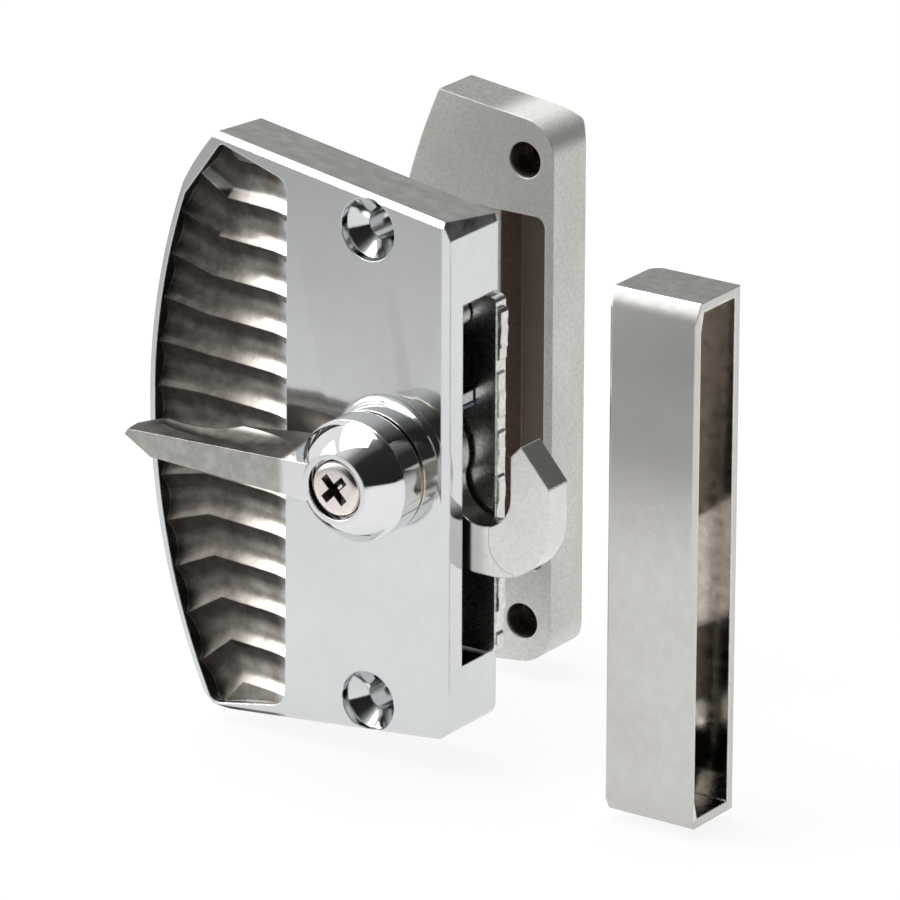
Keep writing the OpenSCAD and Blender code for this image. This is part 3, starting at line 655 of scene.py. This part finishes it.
@dataclass(frozen=True)
class NylonFinish:
    """Natural moulded nylon: cream, waxy and slightly clear."""

    name: str = "nylon_moulded"
    colour: str = "E8E2D2"
    shade: str = "DDD6C4"
    roughness: float = 0.42
    refraction: float = 1.53
    grain_mm: float = 1.5
    relief_mm: float = 0.02
    relief_strength: float = 0.3

    def material(self) -> bpy.types.Material:
        """Builds the finish as a node material.

        Returns:
            The material.
        """
        made = bpy.data.materials.new(self.name)
        made.use_nodes = True
        tree = made.node_tree
        tree.nodes.clear()
        place = add_node(tree, "ShaderNodeTexCoord").outputs["Object"]
        haze = add_node(
            tree, "ShaderNodeTexNoise", {"Vector": place, "Scale": 1 / (self.grain_mm * MM)}
        ).outputs["Fac"]
        tone = mix_colour(tree, haze, linear(self.shade), linear(self.colour))
        bump = add_node(
            tree,
            "ShaderNodeBump",
            {"Strength": self.relief_strength, "Distance": self.relief_mm * MM, "Height": haze},
        ).outputs["Normal"]
        shader = add_node(
            tree,
            "ShaderNodeBsdfPrincipled",
            {"Base Color": tone, "Roughness": self.roughness, "IOR": self.refraction, "Normal": bump},
        )
        add_node(tree, "ShaderNodeOutputMaterial", {"Surface": shader.outputs["BSDF"]})
        return made


class Shop:
    """Keeps one material for each finish and the smoothing that all pieces share."""

    def __init__(self) -> None:
        """Starts with no materials."""
        self.made: dict[str, bpy.types.Material] = {}
        self.smoothing = self._smoothing_group(math.radians(SHARP_DEG))

    def finish(self, kind: MetalFinish | NylonFinish) -> bpy.types.Material:
        """Gives the material of a finish, and builds it the first time.

        Args:
            kind: The finish.

        Returns:
            The material.
        """
        if kind.name not in self.made:
            self.made[kind.name] = kind.material()
        return self.made[kind.name]

    def dress(self, piece: bpy.types.Object, kind: MetalFinish | NylonFinish) -> None:
        """Puts a finish on a piece and smooths its round faces.

        Args:
            piece: The mesh object.
            kind: The finish.
        """
        material = self.finish(kind)
        if not piece.material_slots:
            piece.data.materials.append(material)
        for place in piece.material_slots:
            place.material = material
        smooth = piece.modifiers.new("smooth_rounds", "NODES")
        smooth.node_group = self.smoothing
        LOG.info("%s: %s", piece.name, kind.name)

    @staticmethod
    def _smoothing_group(angle: float) -> bpy.types.NodeTree:
        """Builds the modifier that smooths faces and keeps edges above an angle sharp.

        Args:
            angle: The sharpest angle that is smoothed, in radians.

        Returns:
            The node group.
        """
        group = bpy.data.node_groups.new("smooth_rounds", "GeometryNodeTree")
        group.interface.new_socket("Geometry", in_out="INPUT", socket_type="NodeSocketGeometry")
        group.interface.new_socket("Geometry", in_out="OUTPUT", socket_type="NodeSocketGeometry")
        start = add_node(group, "NodeGroupInput").outputs[0]
        bend = add_node(group, "GeometryNodeInputMeshEdgeAngle").outputs["Unsigned Angle"]
        gentle = add_node(
            group, "FunctionNodeCompare", {0: bend, 1: angle}, data_type="FLOAT", operation="LESS_THAN"
        ).outputs["Result"]
        welded = add_node(
            group, "GeometryNodeMergeByDistance", {"Geometry": start, "Distance": WELD_M}
        ).outputs[0]
        faces = add_node(
            group, "GeometryNodeSetShadeSmooth", {"Geometry": welded, "Shade Smooth": True}, domain="FACE"
        ).outputs[0]
        edges = add_node(
            group, "GeometryNodeSetShadeSmooth", {"Geometry": faces, "Shade Smooth": gentle}, domain="EDGE"
        ).outputs[0]
        add_node(group, "NodeGroupOutput", {0: edges})
        return group


@dataclass
class StudioCamera:
    """The photograph's camera, fitted to the casting's edges and the knob."""

    azimuth: float = 34.5
    elevation: float = 19.8
    roll: float = -0.2
    distance_mm: float = 1120.4
    lens_mm: float = 320.0
    sensor_mm: float = 36.0
    knob_mm: Point = (0.0, -12.5, 0.0)
    aim_right_mm: float = 8.40
    aim_up_mm: float = 1.82
    clip_m: Span = (0.05, 40.0)

    def build(self) -> bpy.types.Object:
        """Makes the camera and sets it as the scene's own.

        Returns:
            The camera object.
        """
        a, e = math.radians(self.azimuth), math.radians(self.elevation)
        forward = Vector((-math.sin(a) * math.cos(e), math.cos(a) * math.cos(e), -math.sin(e)))
        right = Vector((math.cos(a), math.sin(a), 0.0))
        up = right.cross(forward)
        aim = Vector(self.knob_mm) + right * self.aim_right_mm + up * self.aim_up_mm
        turn = Matrix.Rotation(math.radians(self.roll), 3, forward)
        rows = Matrix((turn @ right, turn @ up, -forward)).transposed()
        data = bpy.data.cameras.new("studio_camera")
        data.lens = self.lens_mm
        data.sensor_width = self.sensor_mm
        data.clip_start, data.clip_end = self.clip_m
        camera = bpy.data.objects.new("studio_camera", data)
        bpy.context.scene.collection.objects.link(camera)
        camera.matrix_world = Matrix.Translation((aim - forward * self.distance_mm) * MM) @ rows.to_4x4()
        bpy.context.scene.camera = camera
        return camera


@dataclass(frozen=True)
class Softbox:
    """An area lamp aimed at the latch, with its place and size in metres."""

    name: str
    place: Point
    width: float
    height: float
    watts: float

    def build(self, aim: Vector) -> None:
        """Makes the lamp.

        Args:
            aim: The point that it faces.
        """
        data = bpy.data.lights.new(self.name, "AREA")
        data.shape = "RECTANGLE"
        data.size = self.width
        data.size_y = self.height
        data.energy = self.watts
        lamp = bpy.data.objects.new(self.name, data)
        bpy.context.scene.collection.objects.link(lamp)
        lamp.location = Vector(self.place)
        lamp.rotation_euler = (aim - Vector(self.place)).to_track_quat("-Z", "Y").to_euler()


@dataclass
class Studio:
    """Pale floor, white surround and soft lamps."""

    floor_drop_mm: float = 1.0
    floor_half_m: float = 6.0
    paper: str = "F4F4F3"
    glow_share: float = 0.88
    bright_side: Point = (-0.86, 0.22, 0.46)
    # From the dark side to the bright one: where the ramp has a stop, and the stop's linear grey
    surround_tones: tuple[tuple[float, float], ...] = (
        (0.0, 0.02),
        (0.42, 0.03),
        (0.62, 0.22),
        (0.78, 0.75),
        (1.0, 0.95),
    )
    far_edge: Point = (-0.567, -0.824, 0.0)
    shade_mm: Span = (60.0, 320.0)
    shade_tone: float = 0.5
    lamps: tuple[Softbox, ...] = (
        Softbox("overhead_softbox", (-0.3, -0.1, 1.3), width=1.1, height=1.1, watts=17.0),
        Softbox("left_softbox", (-1.2, -0.7, 0.7), width=0.7, height=1.0, watts=9.0),
    )

    def build(self, lowest: float) -> None:
        """Makes the floor, the world and the lamps.

        Args:
            lowest: Height of the latch's lowest point.
        """
        self._floor(lowest - self.floor_drop_mm * MM)
        self._surround()
        for lamp in self.lamps:
            lamp.build(Vector((0.0, 0.0, 0.0)))
        bpy.context.scene.view_settings.view_transform = "Standard"

    def _floor(self, height: float) -> None:
        """Makes the floor.

        Args:
            height: Its height.
        """
        half = self.floor_half_m
        mesh = bpy.data.meshes.new("studio_floor")
        sheet = [(-half, -half, height), (half, -half, height), (half, half, height), (-half, half, height)]
        mesh.from_pydata(sheet, [], [(0, 1, 2, 3)])
        floor = bpy.data.objects.new("studio_floor", mesh)
        bpy.context.scene.collection.objects.link(floor)
        mesh.materials.append(self._paper())
        floor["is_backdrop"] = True

    def _paper(self) -> bpy.types.Material:
        """Makes the floor's paper, which falls off into shade on the side that the flat faces mirror.

        Returns:
            The material.
        """
        made = bpy.data.materials.new("studio_paper")
        made.use_nodes = True
        tree = made.node_tree
        tree.nodes.clear()
        spot = add_node(tree, "ShaderNodeTexCoord").outputs["Object"]
        ahead = add_node(
            tree, "ShaderNodeVectorMath", {0: spot, 1: self.far_edge}, operation="DOT_PRODUCT"
        ).outputs["Value"]
        away = fade(tree, ahead, self.shade_mm, MM)
        paper_tone = mix_colour(tree, away, linear(self.paper), grey(self.shade_tone))
        glow_tone = mix_colour(tree, away, grey(1.0), grey(self.shade_tone))
        paper = add_node(tree, "ShaderNodeBsdfDiffuse", {"Color": paper_tone})
        glow = add_node(tree, "ShaderNodeEmission", {"Color": glow_tone, "Strength": 1.0})
        path = add_node(tree, "ShaderNodeLightPath")
        seen = maths(tree, "MAXIMUM", path.outputs["Is Camera Ray"], path.outputs["Is Glossy Ray"])
        seen = maths(tree, "MAXIMUM", seen, path.outputs["Is Transmission Ray"])
        share = times(tree, seen, self.glow_share)
        both = add_node(
            tree, "ShaderNodeMixShader", {0: share, 1: paper.outputs[0], 2: glow.outputs[0]}
        ).outputs[0]
        add_node(tree, "ShaderNodeOutputMaterial", {"Surface": both})
        return made

    def _surround(self) -> None:
        """Makes the world: bright towards the left and above it, nearly black on the camera's side."""
        world = bpy.data.worlds.new("studio_surround")
        bpy.context.scene.world = world
        world.use_nodes = True
        tree = world.node_tree
        tree.nodes.clear()
        ray = add_node(tree, "ShaderNodeTexCoord").outputs["Generated"]
        towards = add_node(
            tree, "ShaderNodeVectorMath", {0: ray, 1: self.bright_side}, operation="DOT_PRODUCT"
        ).outputs["Value"]
        stops = [(place, grey(tone)) for place, tone in self.surround_tones]
        tones = ramp(tree, fade(tree, towards, (-1.0, 1.0)), stops)
        path = add_node(tree, "ShaderNodeLightPath")
        colour = mix_colour(tree, path.outputs["Is Camera Ray"], tones, grey(1.0))
        back = add_node(tree, "ShaderNodeBackground", {"Color": colour, "Strength": 1.0})
        add_node(tree, "ShaderNodeOutputWorld", {"Surface": back.outputs[0]})


def mesh_piece(name: str, points: Iterable[Point], faces: Iterable[Sequence[int]]) -> bpy.types.Object:
    """Makes a mesh object from points in millimetres.

    Args:
        name: The object's name.
        points: Its points, in millimetres.
        faces: Its faces, as point numbers.

    Returns:
        The object, linked to the scene.
    """
    mesh = bpy.data.meshes.new(name)
    mesh.from_pydata([tuple(v * MM for v in p) for p in points], [], [tuple(f) for f in faces])
    mesh.update()
    shape = bmesh.new()
    shape.from_mesh(mesh)
    bmesh.ops.recalc_face_normals(shape, faces=shape.faces)
    shape.to_mesh(mesh)
    shape.free()
    piece = bpy.data.objects.new(name, mesh)
    bpy.context.scene.collection.objects.link(piece)
    return piece


def rings_piece(name: str, rings: Sequence[Sequence[Point]], closed: bool = False) -> bpy.types.Object:
    """Skins rings that have the same number of points.

    Args:
        name: The object's name.
        rings: The rings in order; the first and last are filled, unless the skin closes on itself.
        closed: Whether the last ring joins the first.

    Returns:
        The object.
    """
    count = len(rings[0])
    points = [point for ring in rings for point in ring]
    faces: list[Sequence[int]] = []
    pairs = [(i, (i + 1) % len(rings)) for i in range(len(rings) if closed else len(rings) - 1)]
    for a, b in pairs:
        for k in range(count):
            m = (k + 1) % count
            faces.append((a * count + k, a * count + m, b * count + m, b * count + k))
    if not closed:
        faces.append(range(count))
        faces.append(range((len(rings) - 1) * count, len(rings) * count))
    return mesh_piece(name, points, faces)


def extent(piece: bpy.types.Object) -> tuple[Vector, Vector]:
    """Finds a piece's box.

    Args:
        piece: The mesh object.

    Returns:
        The box's low and high corners, in millimetres.
    """
    spots = [piece.matrix_world @ v.co / MM for v in piece.data.vertices]
    low = Vector([min(p[i] for p in spots) for i in range(3)])
    high = Vector([max(p[i] for p in spots) for i in range(3)])
    return low, high


@dataclass(frozen=True)
class CrossScrew:
    """A pan-head screw with a tapered cross recess, pointing along +y."""

    face_y: float
    head_r: float
    end_y: float
    head_h: float = 1.7
    shank_r: float = 1.6
    arm_l: float = 2.35
    arm_w: float = 0.58
    # The recess's rings from its floor up: their length and width against the arm's, and their depth
    recess: tuple[tuple[float, float, float], ...] = (
        (0.2, 0.35, 1.5),
        (0.62, 0.6, 0.825),
        (0.97, 0.93, 0.12),
        (1.03, 1.12, 0.01),
    )
    flat_share: float = 0.68
    dome_share: float = 0.62
    dome_rings: int = 8
    dome_drop: float = 0.02
    turn_deg: float = 45.0
    steps: int = 5

    def _angles(self) -> list[float]:
        """Gives the angles at which every ring has its points, the cross's corners among them.

        Returns:
            The angles in radians.
        """
        corner = math.atan2(self.arm_w, self.arm_l)
        before_corner = corner * 0.55
        octant = [0.0, before_corner, corner] + [
            corner + (EIGHTH_TURN - corner) * i / self.steps for i in range(1, self.steps + 1)
        ]
        quarter = octant + [QUARTER_TURN - a for a in reversed(octant[1:-1])]
        return [a + q * QUARTER_TURN for q in range(4) for a in quarter]

    def _cross(self, scale_l: float, scale_w: float, y: float) -> list[Point]:
        """Gives a ring on the cross's outline.

        Args:
            scale_l: Its length against the arm's.
            scale_w: Its width against the arm's.
            y: Where it lies along the screw.

        Returns:
            The ring's points.
        """
        length, width = self.arm_l * scale_l, self.arm_w * scale_w
        corner = math.atan2(self.arm_w, self.arm_l)
        ring = []
        for angle in self._angles():
            off = abs((angle + EIGHTH_TURN) % QUARTER_TURN - EIGHTH_TURN)
            if off <= corner:
                along = length
                side = width * off / corner
            else:
                side = width
                along = width + (length - width) * (EIGHTH_TURN - off) / (EIGHTH_TURN - corner)
            reach, bearing = math.hypot(along, side), math.atan2(side, along)
            nearest = round(angle / QUARTER_TURN) * QUARTER_TURN
            sign = 1 if angle >= nearest else -1
            ring.append(self._spot(reach, nearest + sign * bearing, y))
        return ring

    def _circle(self, radius: float, y: float) -> list[Point]:
        """Gives a round ring of a radius, at y along the screw."""
        return [self._spot(radius, a, y) for a in self._angles()]

    def _spot(self, radius: float, angle: float, y: float) -> Point:
        """Places a point by its radius and angle about the screw's axis, at y along it."""
        turned = angle + math.radians(self.turn_deg)
        return (radius * math.cos(turned), y, radius * math.sin(turned))

    def build(self, name: str) -> bpy.types.Object:
        """Makes the screw.

        Args:
            name: The object's name.

        Returns:
            The object.
        """
        front = self.face_y
        rings = [self._cross(length, width, front + depth) for length, width, depth in self.recess]
        flat_r, dome_h = self.head_r * self.flat_share, self.head_h * self.dome_share
        for i in range(self.dome_rings):
            bend = i / (self.dome_rings - 1) * QUARTER_TURN
            radius = flat_r + (self.head_r - flat_r) * math.sin(bend)
            rings.append(self._circle(radius, front + self.dome_drop + dome_h * (1 - math.cos(bend))))
        back = front + self.head_h
        for radius, y in ((self.head_r, back), (self.shank_r, back), (self.shank_r, self.end_y)):
            rings.append(self._circle(radius, y))
        return rings_piece(name, rings)


@dataclass(frozen=True)
class WaveWasher:
    """A thin spring washer with even waves."""

    low_y: float
    high_y: float
    outer_r: float
    inner_r: float = 4.6
    thick: float = 0.28
    waves: int = 3
    steps: int = 120

    def build(self, name: str) -> bpy.types.Object:
        """Makes the washer.

        Args:
            name: The object's name.

        Returns:
            The object.
        """
        rings = [
            self._ring(self.inner_r, -1),
            self._ring(self.outer_r, -1),
            self._ring(self.outer_r, 1),
            self._ring(self.inner_r, 1),
        ]
        return rings_piece(name, rings, closed=True)

    def _ring(self, radius: float, side: int) -> list[Point]:
        """Gives one of the washer's wavy edges.

        Args:
            radius: Its radius.
            side: -1 for the front face and 1 for the back.

        Returns:
            The ring's points.
        """
        middle = (self.low_y + self.high_y) / 2
        swing = (self.high_y - self.low_y - self.thick) / 2
        spots = []
        for i in range(self.steps):
            angle = 2 * math.pi * i / self.steps
            y = middle + swing * math.cos(self.waves * angle) + side * self.thick / 2
            spots.append((radius * math.cos(angle), y, radius * math.sin(angle)))
        return spots


@dataclass(frozen=True)
class TrimmedFlash:
    """The ragged lip that the trimming tool left along the back plate's edge."""

    edge_x: float
    low_z: float
    high_z: float
    low_y: float = -2.2
    high_y: float = -0.5
    root: float = 0.4
    reach: Span = (0.05, 0.85)
    step: Span = (1.2, 5.5)
    pitch: float = 0.8
    break_mm: float = 0.35
    ragged: float = 0.1
    bend: float = 0.2
    seed: int = 7

    def build(self, name: str) -> bpy.types.Object:
        """Makes the lip.

        Args:
            name: The object's name.

        Returns:
            The object.
        """
        rough = random.Random(self.seed)
        rings = []
        z = self.low_z
        while z < self.high_z:
            out = self.edge_x + rough.uniform(*self.reach)
            end = min(z + rough.uniform(*self.step), self.high_z)
            count = max(2, round((end - z) / self.pitch))
            for i in range(count):
                spot = z + (end - self.break_mm - z) * i / (count - 1)
                tip = out + rough.uniform(-self.ragged, self.ragged)
                rings.append(self._ring(spot, tip, rough.uniform(0, self.bend)))
            z = end
        return rings_piece(name, rings)

    def _ring(self, z: float, tip: float, bend: float) -> list[Point]:
        """Gives the lip's outline at one height.

        Args:
            z: The height.
            tip: How far to the right it reaches.
            bend: How far its front corner is bent back.

        Returns:
            The outline's points.
        """
        back = self.edge_x - self.root
        front = self.low_y + bend
        return [(back, self.low_y, z), (tip, front, z), (tip, self.high_y, z), (back, self.high_y, z)]


@dataclass
class InsideCasting:
    """Inside casting, its back plate and the plate's screws."""

    frame: dict[str, Any]
    shop: Shop
    finishes: dict[str, MetalFinish] = field(
        default_factory=lambda: {
            "front_casting": CASE_CHROME,
            "back_plate": TRIMMED_ZINC,
            "plate_screws": SCREW_STEEL,
            "detent_spring": BLUED_STEEL,
        }
    )
    plate_corner_mm: float = 1.2

    def build(self) -> None:
        """Dresses the casting and what is fixed in it, and makes the flash on the plate's edge."""
        for node, kind in self.finishes.items():
            self.shop.dress(self.frame["nodes"][node], kind)
        low, high = extent(self.frame["nodes"]["back_plate"])
        corner = self.plate_corner_mm
        flash = TrimmedFlash(high.x, low.z + corner, high.z - corner).build("plate_edge_flash")
        self.shop.dress(flash, TRIMMED_ZINC)
        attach(flash, "lock_base")


@dataclass
class LatchTurn:
    """Thumb turn, its screw, the washers, the spindle and the hook, which turn together."""

    frame: dict[str, Any]
    shop: Shop
    finishes: dict[str, MetalFinish | NylonFinish] = field(
        default_factory=lambda: {
            "thumb_turn": KNOB_CHROME,
            "lock_washer": BLUED_STEEL,
            "spindle": SCREW_STEEL,
            "thrust_washer": NylonFinish(),
            "hook": HOOK_NICKEL,
        }
    )
    washer_room_mm: float = 0.12

    def build(self) -> None:
        """Dresses the turning pieces and makes the fine screw and washer."""
        for node, kind in self.finishes.items():
            self.shop.dress(self.frame["nodes"][node], kind)
        self._screw()
        self._washer()

    def _screw(self) -> None:
        """Makes the cross-recessed screw in the knob."""
        low, high = extent(self.frame["nodes"]["knob_screw"])
        screw = CrossScrew(low.y, high.x, high.y).build("knob_cross_screw")
        self._fit(screw, "knob_screw", SCREW_STEEL)

    def _washer(self) -> None:
        """Makes the golden washer in the seam."""
        low, high = extent(self.frame["nodes"]["wave_washer"])
        room = self.washer_room_mm
        washer = WaveWasher(low.y - room, high.y + room, high.x + room).build("seam_wave_washer")
        self._fit(washer, "wave_washer", SPRING_BRONZE)

    def _fit(self, piece: bpy.types.Object, node: str, kind: MetalFinish) -> None:
        """Puts a made piece in a node's place on the turning body.

        Args:
            piece: The made piece.
            node: The node that it stands for.
            kind: Its finish.
        """
        self.shop.dress(piece, kind)
        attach(piece, "latch_turn")
        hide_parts(node)


@dataclass
class OutsideParts:
    """Outside pull and keeper."""

    frame: dict[str, Any]
    shop: Shop

    def build(self) -> None:
        """Dresses both castings."""
        self.shop.dress(self.frame["nodes"]["rear_pull"], CAST_ZINC)
        self.shop.dress(self.frame["nodes"]["keeper"], KEEPER_CHROME)


def main() -> None:
    """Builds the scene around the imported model."""
    logging.basicConfig(level=logging.INFO)
    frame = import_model()
    cad_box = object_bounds()
    StudioCamera().build()
    shop = Shop()
    InsideCasting(frame, shop).build()
    LatchTurn(frame, shop).build()
    OutsideParts(frame, shop).build()
    Studio().build(cad_box[0].z)


if __name__ == "__main__":
    main()
